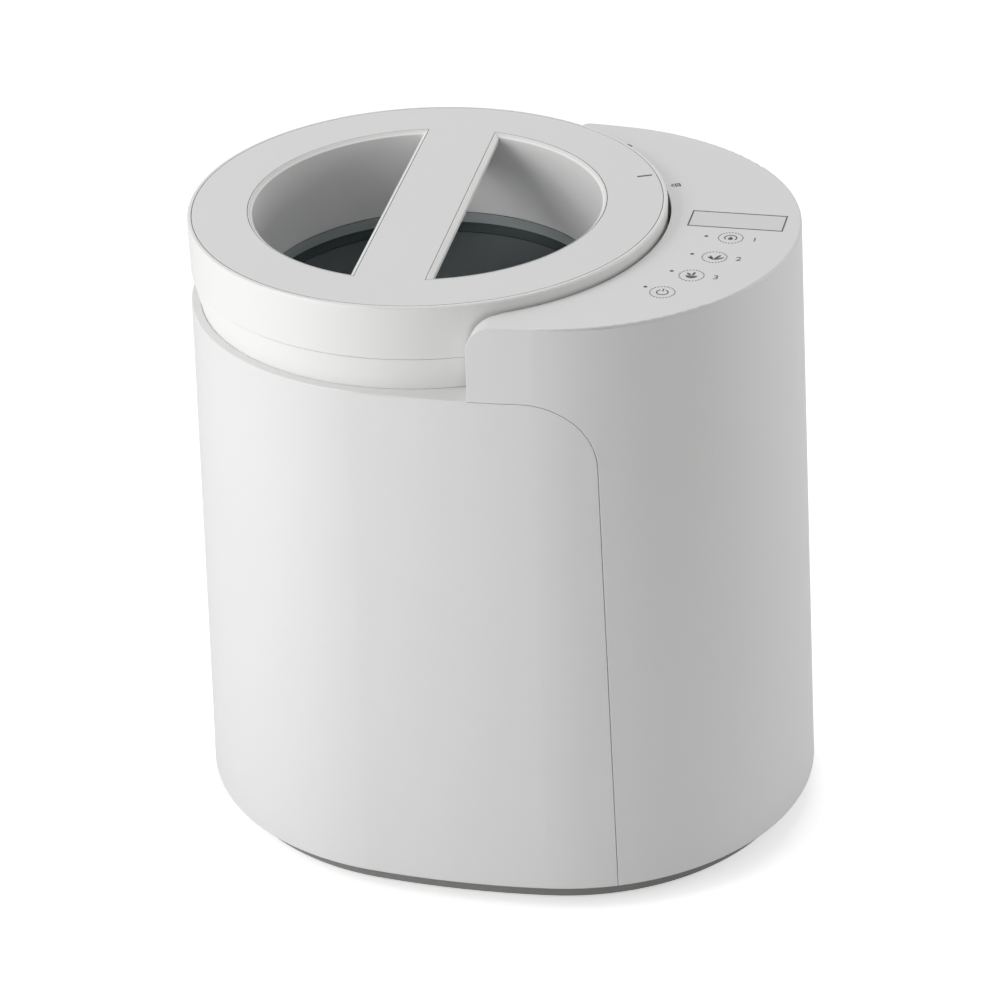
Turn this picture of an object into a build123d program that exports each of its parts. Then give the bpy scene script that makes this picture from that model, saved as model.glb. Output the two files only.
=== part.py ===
from build123d import *
import math
import os

# Electric food waste composter: an oval bin-shaped housing with a round twist-off lid at its
# left end and a raised control panel at its right end. Millimetres. The origin is on the
# surface it stands on, under the middle of the housing: +X runs to the control panel, +Y to
# the back and +Z up.

# ---------------------------------------------------------------- driving dimensions
TOP_Z = 316.0  # lid's top face
HEAD_Z = 310.3  # control panel's top face
PART_Z = 290.0  # joint between the lid's side and the neck below it
LEDGE_Z = 273.4  # flat ledge round the neck
SHELL_Z = 13.4  # lower edge of the outer shells
TRAY_Z = 2.5  # underside of the base tray

END_X = 31.0  # the plan's two end arcs are centred at x = -END_X and x = END_X
SIDE_BOW = 1.7  # how far each long side bows out between the end arcs
TOP_R = 114.6  # radius of the end arcs at the height of the lid's top
DRAFT = 0.030  # the walls lean outwards by this much for each mm down
WALL = 2.6  # thickness of the outer shells
GAP = 0.3  # visible joint between two mouldings

LID_X = -32.0  # the lid, the pot and the bucket share this upright axis
LID_R = 114.0  # outer radius of the lid
LID_TURN = 2.0  # the lid stands this many degrees from square
POCKET_R = 116.5  # the panel is cut back round the lid to this radius
BOWL_R = 83.2  # bowl wall in the lid, under its lip
GLASS_TOP = 266.5  # upper face of the glass at the bottom of the bowl
RIM_Z = 260.0  # bucket's rim, which the lid's seal rests on
RIM_R = 84.7  # inside radius of the bucket's rim
POT_Z = 52.0  # underside of the heated pot
POT_R = 98.0  # inside radius of the heated pot

MODULE = 2.0  # gear module
OUT_TEETH = 50  # gear under the pot, which turns the blade
SMALL_TEETH = 15  # smaller half of the idler
LARGE_TEETH = 54  # larger half of the idler
PINION_TEETH = 15  # on the motor's shaft
IDLER_X = LID_X + MODULE * (OUT_TEETH + SMALL_TEETH) / 2
MOTOR_X = IDLER_X + MODULE * (LARGE_TEETH + PINION_TEETH) / 2

BACK_TURN = 50.0  # the filter drawer, blower and inlet look this way, in degrees from +X

DRAFT_ANGLE = math.degrees(math.atan(DRAFT))


# ---------------------------------------------------------------- shared shapes
def body_radius(z):
    """Radius of the housing's end arcs at height z."""
    return TOP_R + DRAFT * (TOP_Z - z)


def oval(radius, z):
    """Plan outline at height z: two end arcs and two gently bowed sides, all tangent."""
    hub = (END_X**2 - SIDE_BOW**2) / (2 * SIDE_BOW)
    lean = math.degrees(math.atan2(END_X, hub))
    side = radius + math.hypot(END_X, hub)
    arcs = [
        CenterArc((END_X, 0), radius, lean - 90, 180 - 2 * lean),
        CenterArc((0, -hub), side, 90 - lean, 2 * lean),
        CenterArc((-END_X, 0), radius, 90 + lean, 180 - 2 * lean),
        CenterArc((0, hub), side, 270 - lean, 2 * lean),
    ]
    return Pos(0, 0, z) * Face(Wire(arcs))


def drafted(inset, z0, z1):
    """Solid inside the housing's leaning wall, this far in from its outer surface."""
    return extrude(oval(body_radius(z0) - inset, z0), z1 - z0, taper=DRAFT_ANGLE)


def upright(radius, z0, z1, x=LID_X, y=0.0):
    """Upright cylinder."""
    return extrude(Pos(x, y, z0) * Circle(radius), z1 - z0)


def turned(points, x=LID_X):
    """Solid of revolution about the upright axis at x, from (radius, height) points."""
    return Pos(x, 0, 0) * revolve(Plane.XZ * Face(Wire.make_polygon(points)), Axis.Z)


def block(x0, x1, y0, y1, z0, z1):
    """Box between these limits."""
    middle = Pos((x0 + x1) / 2, (y0 + y1) / 2, (z0 + z1) / 2)
    return middle * Box(x1 - x0, y1 - y0, z1 - z0)


def front_prism(outline):
    """A closed outline in the front view, run through the whole depth of the object."""
    return extrude(Plane.XZ * Face(Wire(outline)), 200, both=True)


def around(shape, angles, x=LID_X):
    """Copies of a shape turned about the upright axis at x."""
    spin = Axis((x, 0, 0), (0, 0, 1))
    return [shape.rotate(spin, angle) for angle in angles]


def fused(shapes):
    """All the shapes as one."""
    shapes = list(shapes)
    return shapes[0].fuse(*shapes[1:]) if len(shapes) > 1 else shapes[0]


def backwards(shape):
    """Turns a shape drawn along +X from the right end arc's centre to the filter's direction."""
    return Pos(END_X, 0, 0) * Rot(0, 0, BACK_TURN) * shape


# ---------------------------------------------------------------- outer shells
SEAM_LOW_X = 78.0  # seam between the two shells, at their lower edge
SEAM_HIGH_X = 71.3  # and where its rounded upper corner starts
CORNER_R = 34.0
CUT_X = 13.4  # left end of the raised panel
CUT_R = 12.0  # its rounded upper corner


def seam_line(shift):
    """Right-hand side of the wrap shell from its lower edge up to the ledge."""
    low = (SEAM_LOW_X - shift, SHELL_Z - 8)
    start = (SEAM_HIGH_X - shift, LEDGE_Z - CORNER_R)
    end = (SEAM_HIGH_X - CORNER_R, LEDGE_Z - shift)
    bow = (CORNER_R - shift) * math.sqrt(0.5)
    middle = (SEAM_HIGH_X - CORNER_R + bow, LEDGE_Z - CORNER_R + bow)
    return low, start, middle, end


def left_of_seam():
    """Where the wrap shell is, in the front view."""
    low, start, middle, end = seam_line(GAP)
    outline = [
        Line(low, start),
        ThreePointArc(start, middle, end),
        Line(end, (CUT_X, LEDGE_Z - GAP)),
        Line((CUT_X, LEDGE_Z - GAP), (CUT_X, LEDGE_Z + 1)),
        Line((CUT_X, LEDGE_Z + 1), (-400, LEDGE_Z + 1)),
        Line((-400, LEDGE_Z + 1), (-400, SHELL_Z - 8)),
        Line((-400, SHELL_Z - 8), low),
    ]
    return front_prism(outline)


def right_of_seam():
    """Where the head housing is, in the front view."""
    low, start, middle, end = seam_line(0)
    bow = CUT_R * (1 - math.sqrt(0.5))
    outline = [
        Line(low, start),
        ThreePointArc(start, middle, end),
        Line(end, (CUT_X, LEDGE_Z)),
        Line((CUT_X, LEDGE_Z), (CUT_X, HEAD_Z - CUT_R)),
        ThreePointArc(
            (CUT_X, HEAD_Z - CUT_R), (CUT_X + bow, HEAD_Z - bow), (CUT_X + CUT_R, HEAD_Z)
        ),
        Line((CUT_X + CUT_R, HEAD_Z), (400, HEAD_Z)),
        Line((400, HEAD_Z), (400, SHELL_Z - 8)),
        Line((400, SHELL_Z - 8), low),
    ]
    return front_prism(outline)


RIB_DEPTH = 6.0
RIB_T = 2.0
INLET_X = 30.0  # power inlet, low in the back
INLET_Z = 60.0
INLET = (31.0, 24.0)
LUG_Z = 20.0  # screw lugs of the shells lie on the tray's posts at this height
LUG_R = 106.5  # their screws' distance from the end arc's centre
LUG_PLACES = [(-END_X, 125), (-END_X, 235), (END_X, -60), (END_X, 60)]


def ribs(places, z0, z1, depth, width):
    """Upright ribs standing inwards from the shell, at (end centre, angle) places."""
    band = drafted(WALL - 0.4, z0, z1) - drafted(WALL + depth, z0, z1)
    rays = [
        Pos(x, 0, 0) * Rot(0, 0, a) * block(80, 140, -width / 2, width / 2, z0, z1)
        for x, a in places
    ]
    return band & fused(rays)


def screw_lugs(places):
    """Lugs with a pilot hole, for the screws that come up through the tray."""
    lugs = ribs(places, LUG_Z, LUG_Z + 5, 24 - WALL, 11)
    for x, a in places:
        at = Pos(x, 0, 0) * Rot(0, 0, a) * Pos(LUG_R, 0, LUG_Z - 1)
        lugs = lugs - at * extrude(Circle(1.5), 5)
    return lugs


def wrap_shell():
    """Left casing: front, left end and back in one, with the ledge round the neck."""
    skin = drafted(0, SHELL_Z, LEDGE_Z)
    skin = fillet(skin.edges().group_by(Axis.Z)[-1], 0.7)
    skin = skin - drafted(WALL, SHELL_Z - 1, LEDGE_Z - WALL)
    skin = skin - upright(NECK_LOW_R + 0.3, LEDGE_Z - 6, LEDGE_Z + 1)
    rib_places = [(-END_X, a) for a in (105, 150, 210, 255)]
    inside = ribs(rib_places, LUG_Z + 12, DECK_Z, RIB_DEPTH, RIB_T)
    lugs = screw_lugs(LUG_PLACES[:2])
    width, height = INLET
    inlet = Pos(INLET_X, 0, INLET_Z) * block(-width / 2, width / 2, 100, 140, -height / 2, height / 2)
    return (skin + inside + lugs - inlet) & left_of_seam()


DISPLAY_X = 114.8
DISPLAY_Y = 12.3
DISPLAY = (44.5, 16.4)  # outline of the display window
PANEL_T = 3.0
DRAWER_W = 46.0
DRAWER_Z = (128.0, 246.0)


def head_housing():
    """Right casing: the right end with the raised panel, cut back round the lid."""
    outer = drafted(0, SHELL_Z, HEAD_Z)
    outer = fillet(outer.edges().group_by(Axis.Z)[-1], 1.2)
    hollow_low = drafted(WALL, SHELL_Z - 1, LEDGE_Z)
    hollow_high = drafted(WALL, LEDGE_Z - 1, HEAD_Z - PANEL_T)
    hollow_high = hollow_high & block(CUT_X + 14, 400, -200, 200, LEDGE_Z - 2, HEAD_Z)
    skin = outer - hollow_low - hollow_high
    wall = upright(POCKET_R + 2.6, DECK_TOP, HEAD_Z) & drafted(0.5, DECK_TOP, HEAD_Z)
    skin = (skin + wall) & right_of_seam()
    skin = skin - upright(POCKET_R, DECK_Z - 5, HEAD_Z + 1)
    rib_places = [(END_X, a) for a in (-75, -25, 10, 80)]
    inside = ribs(rib_places, LUG_Z + 12, DECK_Z, RIB_DEPTH, RIB_T) & right_of_seam()
    skin = skin + inside + screw_lugs(LUG_PLACES[2:])
    width, depth = DISPLAY
    seat = Pos(DISPLAY_X, DISPLAY_Y, 0)
    skin = skin - seat * block(-width / 2, width / 2, -depth / 2, depth / 2, HEAD_Z - 2, HEAD_Z + 1)
    skin = skin - seat * block(-20.5, 20.5, -6.5, 6.5, HEAD_Z - 5, HEAD_Z)
    low, high = DRAWER_Z
    side = DRAWER_W / 2
    skin = skin - backwards(block(90, 140, -side, side, low, high))
    return skin


# ---------------------------------------------------------------- base
FOOT_PLACES = [(-95, -68), (95, -68), (-95, 68), (95, 68)]
TRAY_R = 115.2  # end arcs of the recessed base ring, at its lower edge
FLOOR_T = 3.0
POST_PLACES = [(-70, -28), (-70, 28), (112, -14), (112, 14)]
CASE_Z = 12.0  # underside of the gear case, on the tray's posts


def base_tray():
    """Dark recessed base ring and floor in one, with intake slots and screw posts."""
    ring = extrude(oval(TRAY_R, TRAY_Z), LUG_Z - TRAY_Z, taper=-2.5)
    ring = chamfer(ring.edges().group_by(Axis.Z)[0], 1.0)
    flange = drafted(WALL + 0.4, LUG_Z - 2.5, LUG_Z)
    tray = ring + flange - extrude(oval(TRAY_R - 2.6, TRAY_Z + FLOOR_T), 40)
    for x, a in LUG_PLACES:
        at = Pos(x, 0, 0) * Rot(0, 0, a) * Pos(LUG_R, 0, 0)
        tray = tray + at * extrude(Pos(0, 0, TRAY_Z + 1) * Circle(5), LUG_Z - TRAY_Z - 1)
        tray = tray - at * extrude(Pos(0, 0, TRAY_Z - 1) * Circle(4), 7)
        tray = tray - at * extrude(Circle(1.9), 40)
    for x, y in POST_PLACES:
        tray = tray + upright(6, TRAY_Z + 1, CASE_Z, x, y)
    slots = [Pos(62 + 9 * i, 0, 0) * SlotOverall(44, 3.6, 90) for i in range(5)]
    for slot in slots:
        tray = tray - extrude(Pos(0, 0, TRAY_Z - 1) * slot, FLOOR_T + 2)
    return tray


def foot_pads():
    """Four rubber pads bonded under the tray's floor."""
    pad = turned([(0, 0), (8.4, 0), (9, TRAY_Z), (0, TRAY_Z)], 0)
    return Compound([Pos(x, y, 0) * pad for x, y in FOOT_PLACES])


def screw(length, head_r=3.4, shank_r=1.5, head_t=2.2):
    """Pan-head screw pointing up, its head's underside at z = 0."""
    head = Pos(0, 0, -head_t) * extrude(Circle(head_r), head_t)
    slot = block(-head_r, head_r, -0.4, 0.4, -head_t - 1, -head_t + 0.9)
    return head + extrude(Circle(shank_r), length) - slot


def base_screws():
    """Four screws that hold the shells to the tray."""
    places = [Pos(x, 0, 0) * Rot(0, 0, a) * Pos(LUG_R, 0, TRAY_Z + 6) for x, a in LUG_PLACES]
    return Compound([at * screw(15) for at in places])


# ---------------------------------------------------------------- top deck with the neck
NECK_LOW_R = 110.4
NECK_HIGH_R = 113.7
DECK_Z = 267.6  # underside of the deck plate
DECK_TOP = 270.6
BORE_R = 97.5  # opening that the bucket is lifted through
COLLAR_R = 106.5
COLLAR_IN_R = 101.0
COLLAR_Z = 299.0
TAB_R = 110.2  # bayonet tabs on the collar
TAB_Z = 296.0
TAB_ANGLES = (92.0, 212.0, 332.0)
TAB_WIDTH = 26.0  # degrees


def sector(radius, middle, width):
    """Upright wedge about the lid's axis, as a cutter."""
    a = math.radians(width / 2)
    reach = radius / math.cos(a)
    corners = [(0, 0), (reach * math.cos(a), -reach * math.sin(a)),
               (reach * math.cos(a), reach * math.sin(a))]
    wedge = extrude(Face(Wire.make_polygon([(x, y, 0) for x, y in corners])), 400)
    return Pos(LID_X, 0, 0) * Rot(0, 0, middle) * wedge


def top_deck():
    """Inner top frame: deck plate, neck and the collar with three bayonet tabs."""
    plate = drafted(WALL + 0.35, DECK_Z, DECK_TOP)
    neck = turned([
        (BORE_R, DECK_Z), (NECK_LOW_R, DECK_Z), (NECK_LOW_R, LEDGE_Z),
        (NECK_HIGH_R, PART_Z - GAP / 2), (COLLAR_R, PART_Z - GAP / 2), (COLLAR_R, COLLAR_Z),
        (COLLAR_IN_R, COLLAR_Z), (COLLAR_IN_R, 277), (BORE_R, 274),
    ])
    tabs = turned([
        (COLLAR_R - 1, TAB_Z), (TAB_R, TAB_Z), (TAB_R, COLLAR_Z), (COLLAR_R - 1, COLLAR_Z)
    ])
    tabs = tabs & fused(sector(130, a, TAB_WIDTH) for a in TAB_ANGLES)
    deck = plate + neck + tabs - upright(BORE_R, DECK_Z - 1, LEDGE_Z)
    cable_way = block(96, 106, -42, -14, DECK_Z - 1, DECK_TOP + 1)
    return deck - cable_way


# ---------------------------------------------------------------- pot, heater and their fittings
PORT_R = 8.0  # air port, duct and blower inlet


def heated_pot():
    """Deep-drawn aluminium pot hung under the deck, which the bucket stands in."""
    t = 1.5
    pot = turned([
        (9, POT_Z), (POT_R - 8 + t, POT_Z), (POT_R + t, POT_Z + 8), (POT_R + t, DECK_Z - t),
        (105, DECK_Z - t), (105, DECK_Z), (POT_R, DECK_Z), (POT_R, POT_Z + 8.6),
        (POT_R - 8.6, POT_Z + t), (9, POT_Z + t),
    ])
    port = Pos(LID_X, 0, 0) * Rot(0, 0, DUCT_TURN) * Pos(90, 0, DUCT_Z) * Rot(0, 90, 0)
    return pot - port * extrude(Circle(PORT_R), 20)


def heater_plate():
    """Ring-shaped heating plate under the pot."""
    return turned([(30, POT_Z - 6), (82, POT_Z - 6), (82, POT_Z), (30, POT_Z)])


def heater_band():
    """Heating band round the lower part of the pot."""
    r = POT_R + 1.5
    return turned([(r, 64), (r + 2, 64), (r + 2, 94), (r, 94)])


def thermal_cutout():
    """Round thermal cut-out on the pot's side, towards the panel."""
    disc = Plane.YZ * Circle(8)
    cap = Pos(LID_X + POT_R + 1.3, -30, 180) * extrude(disc, 9)
    lead = Pos(LID_X + POT_R + 1.3, -30, 180) * extrude(Plane.YZ * Rectangle(22, 7), 3)
    return (cap + lead) - upright(POT_R + 1.5, 150, 210)


# ---------------------------------------------------------------- drive
LOW_GEAR_Z = (17.0, 24.0)
HIGH_GEAR_Z = (25.0, 33.0)
CASE_TOP = 39.0
CASE_T = 2.5
COVER_T = 3.0
SHAFT_R = 6.0
PIN_R = 4.0  # idler's pin and motor's shaft
MOTOR_R = 27.0
MOTOR_TOP = 106.0
RUNNING = 0.06  # clearance of a shaft in its bearing


def gear_face(teeth, first_tooth, tip=0.85, root=1.15, slack=0.22):
    """Spur gear outline with involute flanks and a tooth centred at first_tooth degrees."""
    pitch = MODULE * teeth / 2
    base = pitch * math.cos(math.radians(20))
    low = pitch - root * MODULE
    high = pitch + tip * MODULE
    half = math.pi / (2 * teeth) - slack / (2 * pitch)
    turn = math.tan(math.radians(20)) - math.radians(20)
    start = max(base, low)
    steps = [start, start + (high - start) * 0.45, high]
    flank = []
    for r in steps:
        press = math.acos(min(1.0, base / r))
        flank.append((r, half + turn - (math.tan(press) - press)))
    if low < base:
        flank.insert(0, (low, flank[0][1]))
    points = []
    for k in range(teeth):
        middle = math.radians(first_tooth) + 2 * math.pi * k / teeth
        sides = [(r, middle - a) for r, a in flank] + [(r, middle + a) for r, a in reversed(flank)]
        points += [(r * math.cos(a), r * math.sin(a), 0) for r, a in sides]
    return Face(Wire.make_polygon(points))


def output_gear():
    """Large gear under the pot, lightened by four holes."""
    low, high = HIGH_GEAR_Z
    gear = extrude(Pos(LID_X, 0, low) * gear_face(OUT_TEETH, 0.0), high - low)
    gear = gear - upright(SHAFT_R, 0, 60)
    for hole in around(upright(11, 0, 60, LID_X + 27), range(45, 405, 90)):
        gear = gear - hole
    return gear


def output_shaft():
    """Shaft of the output gear, with the hexagonal drive dog in the pot."""
    stem = upright(SHAFT_R, CASE_Z + CASE_T, POT_Z + 2.4)
    dog = extrude(Pos(LID_X, 0, POT_Z + 2.4) * RegularPolygon(6.3, 6, major_radius=False), 7.2)
    return stem + dog


def idler_gear():
    """Compound idler: its large half meets the pinion, its small half the output gear."""
    low, high = LOW_GEAR_Z
    large = extrude(Pos(IDLER_X, 0, low) * gear_face(LARGE_TEETH, 0.0), high - low)
    phase = 180 + 180 / SMALL_TEETH
    upper = HIGH_GEAR_Z[1] - high + 0.5
    small = extrude(Pos(IDLER_X, 0, high - 0.5) * gear_face(SMALL_TEETH, phase), upper)
    gear = large + small - upright(PIN_R + RUNNING, 0, 60, IDLER_X)
    for hole in around(upright(12, 0, high + 0.01, IDLER_X + 33), range(0, 360, 90), IDLER_X):
        gear = gear - hole
    return gear


def idler_pin():
    """Fixed steel pin that the idler runs on."""
    return upright(PIN_R, CASE_Z + CASE_T, CASE_TOP - COVER_T, IDLER_X)


def motor_pinion():
    """Brass pinion with the motor's shaft."""
    low, high = LOW_GEAR_Z
    phase = 180 + 180 / PINION_TEETH
    pinion = extrude(Pos(MOTOR_X, 0, low) * gear_face(PINION_TEETH, phase), high - low)
    return pinion + upright(PIN_R, CASE_Z + CASE_T, 60, MOTOR_X)


BEARING_R = 11.0
BEARING_TOP = POT_Z - 8


def motor():
    """Geared motor's can, standing on the gear case."""
    return turned([
        (5, CASE_TOP), (14, CASE_TOP), (14, CASE_TOP + 2), (MOTOR_R, CASE_TOP + 2),
        (MOTOR_R, MOTOR_TOP - 2), (MOTOR_R - 2, MOTOR_TOP), (0, MOTOR_TOP), (0, 62), (5, 62),
    ], MOTOR_X)


def case_outline(grow):
    """Plan of the gear case: a hull round the three wheels."""
    circles = [
        Pos(LID_X, 0) * Circle(55 + grow),
        Pos(IDLER_X, 0) * Circle(58 + grow),
        Pos(MOTOR_X, 0) * Circle(25 + grow),
    ]
    edges = [edge for circle in circles for edge in circle.edges()]
    return make_hull(edges)


def gear_case():
    """Lower half of the gear case, with the bearing bosses for shaft and pins."""
    floor = CASE_Z + CASE_T
    outside = extrude(Pos(0, 0, CASE_Z) * case_outline(CASE_T), CASE_TOP - COVER_T - CASE_Z)
    case = outside - extrude(Pos(0, 0, floor) * case_outline(0), 40)
    case = case + fused([upright(10, floor, LOW_GEAR_Z[0], x) for x in (LID_X, IDLER_X)])
    return case - upright(SHAFT_R + RUNNING, floor, 60) - upright(PIN_R, floor, 60, IDLER_X)


def gear_cover():
    """Upper half of the gear case, which carries the motor and the shaft's bearing."""
    under = CASE_TOP - COVER_T
    cover = extrude(Pos(0, 0, under) * case_outline(CASE_T), COVER_T)
    cover = cover + upright(14, under, BEARING_TOP)
    cover = cover - upright(BEARING_R, under - 1, BEARING_TOP + 1)
    return cover - upright(PIN_R + 1, 30, 50, MOTOR_X)


def shaft_bearing():
    """Bearing ring of the output shaft, in the cover's boss."""
    low, bore = CASE_TOP - COVER_T, SHAFT_R + RUNNING
    return turned([(bore, low), (BEARING_R, low), (BEARING_R, BEARING_TOP), (bore, BEARING_TOP)])


def shaft_seal():
    """Rubber seal where the shaft enters the pot."""
    bore = SHAFT_R + RUNNING
    return turned([(bore, POT_Z - 4), (14, POT_Z - 4), (14, POT_Z), (9, POT_Z),
                   (9, POT_Z + 1.5), (bore, POT_Z + 1.5)])


def pot_stand():
    """Ring under the heating plate, standing on the gear cover."""
    return turned([(44, CASE_TOP), (50, CASE_TOP), (50, POT_Z - 6), (44, POT_Z - 6)])


# ---------------------------------------------------------------- bucket
FLOOR_Z = 69.0  # inside of the bucket's floor
BUCKET_T = 2.5
SOCKET_TOP = FLOOR_Z - 3.4  # blade's socket, just under the floor
BAIL_R = 93.4
BAIL_Z = 250.0
BAIL_T = 1.8
BAIL_W = 7.0
BAIL_PIN = 2.2
TUBE_TOP = 92.0
TUBE_R = 9.0  # bore of the bucket's tube


def bucket():
    """Cast aluminium bucket with a rolled rim, a foot ring and a tube for the blade's shaft."""
    outer = turned([
        (0, FLOOR_Z - 3), (57, FLOOR_Z - 3), (57, POT_Z + 1.5), (62, POT_Z + 1.5),
        (62, FLOOR_Z - 3), (76, FLOOR_Z - 3), (82.5, FLOOR_Z + 5), (RIM_R + BUCKET_T, 240),
        (RIM_R + BUCKET_T, RIM_Z - 3), (88.8, RIM_Z - 2.5), (88.8, RIM_Z), (0, RIM_Z),
    ])
    inner = turned([
        (0, FLOOR_Z), (71.4, FLOOR_Z), (75.9, FLOOR_Z + 1.2), (79.2, FLOOR_Z + 4.5),
        (80.5, FLOOR_Z + 9), (RIM_R, 240), (RIM_R, RIM_Z + 1), (0, RIM_Z + 1),
    ])
    shell = outer - inner + upright(12, FLOOR_Z - 1, TUBE_TOP)
    for side in (-1, 1):
        ear = Pos(LID_X, side * (RIM_R + 1), BAIL_Z) * Rot(-90 * side, 0, 0)
        shell = shell + ear * extrude(Circle(6), BAIL_R - BAIL_T / 2 - 0.6 - RIM_R - 1)
        shell = shell - ear * Pos(0, 0, 0.9) * extrude(Circle(BAIL_PIN + 0.06), 10)
    return shell - upright(TUBE_R, 50, TUBE_TOP + 1)


def blade_bush():
    """Bush in the bucket's tube that the blade's shaft runs in."""
    bore = SHAFT_R + RUNNING
    return turned([(bore, FLOOR_Z - 3), (TUBE_R, FLOOR_Z - 3), (TUBE_R, TUBE_TOP), (bore, TUBE_TOP)])


def bail_band(thick, width):
    """Ring about the bucket at the height of the bail's pins."""
    section = Circle(BAIL_R + thick / 2) - Circle(BAIL_R - thick / 2)
    return Pos(LID_X, 0, BAIL_Z - width / 2) * extrude(section, width)


def bucket_bail():
    """Strap handle of the bucket, folded flat round its left side under the rim."""
    bail = bail_band(BAIL_T, BAIL_W) & block(-200, LID_X, -120, 120, 200, 300)
    for side in (-1, 1):
        out = Pos(LID_X, 0, BAIL_Z) * Rot(-90 * side, 0, 0)
        bail = bail + out * Pos(0, 0, BAIL_R - BAIL_T / 2) * extrude(Circle(BAIL_W / 2), BAIL_T)
        bail = bail + out * Pos(0, 0, RIM_R + 2.2) * extrude(Circle(BAIL_PIN), BAIL_R - RIM_R - 2.2)
    return bail


def bail_grip():
    """Moulded grip on the middle of the strap handle."""
    return (bail_band(4.6, 11) - bail_band(BAIL_T, BAIL_W)) & sector(130, 180, 40)


PADDLES = ((0, 64), (120, 28), (240, 28))  # direction in degrees and height of each


def blade():
    """Mixing blade: cap over the tube, shaft, three swept arms and one standing paddle."""
    hub = turned([(0, TUBE_TOP), (12.6, TUBE_TOP), (12.6, FLOOR_Z + 1.5), (17, FLOOR_Z + 1.5),
                  (17, 96), (12, 102), (4, 104), (0, 104)])
    hub = hub + upright(SHAFT_R, SOCKET_TOP, TUBE_TOP + 2)
    sweep = ThreePointArc((15.5, 0), (46, 14), (72, 4))
    arm = extrude(Pos(0, 0, FLOOR_Z + 2) * trace(sweep, 6), 13)
    arms = [Pos(LID_X, 0, 0) * Rot(0, 0, a) * arm for a in (0, 120, 240)]
    plate = Pos(63.6, 8.6, FLOOR_Z + 12) * Rot(0, 0, -26) * Rectangle(13, 3.6)
    paddles = [
        Pos(LID_X, 0, 0) * Rot(0, 0, a) * extrude(plate, height)
        for a, height in PADDLES
    ]
    return fused([hub, *arms, *paddles])


def blade_coupling():
    """Hexagonal socket under the bucket that drops over the drive dog."""
    socket = upright(11, POT_Z + 2.6, SOCKET_TOP)
    recess = extrude(Pos(LID_X, 0, POT_Z + 1) * RegularPolygon(6.6, 6, major_radius=False), 9)
    return socket - recess


# ---------------------------------------------------------------- lid
SEAM_R = 85.2  # seam between the inlay plate and the lip of the bowl
BAR_HALF = 16.8  # half the width of the inlay's bar
LIP = 2.2  # how far the bridge stands out beside the bar
LIP_FLAT = 0.3  # level part of the lip round each opening, before its 45 degree slope
LIP_DEPTH = 1.4  # the bowl's wall starts this far below the top
BAR_DEPTH = 12.5
BOWL_BOTTOM = 272.1
FRAME_TOP = 271.7
BOWL_LOW_R = 83.4
BOWL_WALL = 2.4
LID_WALL = 2.6
LID_ROOF = 311.0  # underside of the lid's top
INLAY_T = 2.0
LUG_ANGLES = (90.0, 210.0, 330.0)
LUG_WIDTH = 16.0  # degrees
LUG_IN_R = 107.2
LUG_HIGH = (291.0, 295.4)  # the lugs turn in under the collar's tabs
BOSS_R = 3.6
PILOT_R = 1.5


def on_lid(shape):
    """Places a shape drawn about the lid's own centre line."""
    return Pos(LID_X, 0, 0) * Rot(0, 0, LID_TURN) * shape


def well_face(radius, half, side):
    """One of the two D-shaped openings beside the bar."""
    disc = Circle(radius)
    cut = Pos(side * (half + 100), 0) * Rectangle(200, 400)
    return (disc & cut).faces()[0]


def lid_shell():
    """Lid moulding: outer wall, bowl and the bridge that the lid is turned by."""
    body = upright(LID_R, PART_Z + GAP / 2, TOP_Z)
    body = fillet(body.edges().group_by(Axis.Z)[-1], 0.9)
    bowl_out = BOWL_LOW_R + BOWL_WALL
    body = body + upright(bowl_out, BOWL_BOTTOM, PART_Z + 1)
    body = body - turned([(bowl_out, 260), (LID_R - LID_WALL, 260), (LID_R - LID_WALL, LID_ROOF),
                          (bowl_out, LID_ROOF)])
    lip_z = TOP_Z - LIP_DEPTH
    bowl = turned([(0, 270), (BOWL_LOW_R + 0.06, 270), (BOWL_R, lip_z), (0, lip_z)])
    under = BAR_HALF + LIP
    low_z = TOP_Z - BAR_DEPTH
    section = Face(Wire([
        ThreePointArc((-under, TOP_Z - 4), (0, low_z), (under, TOP_Z - 4)),
        Line((under, TOP_Z - 4), (under, TOP_Z)),
        Line((under, TOP_Z), (-under, TOP_Z)),
        Line((-under, TOP_Z), (-under, TOP_Z - 4)),
    ]))
    bridge = on_lid(extrude(Plane.XZ * section, 84, both=True))
    body = body - (bowl - bridge)
    for side in (-1, 1):
        mouth = Pos(0, 0, TOP_Z) * well_face(SEAM_R - LIP_FLAT, BAR_HALF + LIP_FLAT, side)
        body = body - on_lid(extrude(mouth, -4, taper=45))
    seat = Circle(LID_R - 2) - Circle(SEAM_R) + Rectangle(2 * BAR_HALF, 2 * SEAM_R)
    body = body - on_lid(extrude(Pos(0, 0, TOP_Z - INLAY_T) * seat, INLAY_T + 1))
    low, high = LUG_HIGH
    lugs = turned([(LUG_IN_R, low), (LID_R - 2, low), (LID_R - 2, high), (LUG_IN_R, high)])
    lugs = lugs & fused(sector(130, a + LID_TURN, LUG_WIDTH) for a in LUG_ANGLES)
    boss = upright(BOSS_R, FRAME_TOP, TOP_Z - 4, FRAME_SCREW_R)
    pilot = upright(PILOT_R, FRAME_TOP - 1, FRAME_TOP + 12, FRAME_SCREW_R)
    body = body + lugs
    for post, hole in zip(around(boss, FRAME_SCREWS, 0), around(pilot, FRAME_SCREWS, 0)):
        body = body + on_lid(post) - on_lid(hole)
    return body


def lid_inlay():
    """Flush plate on the lid: ring and bar in one, let in behind a fine seam."""
    plate = Circle(LID_R - 2.3) - Circle(SEAM_R + 0.3) + Rectangle(2 * (BAR_HALF - 0.3), 2 * SEAM_R + 2)
    return on_lid(extrude(Pos(0, 0, TOP_Z - INLAY_T) * plate, INLAY_T))


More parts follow.
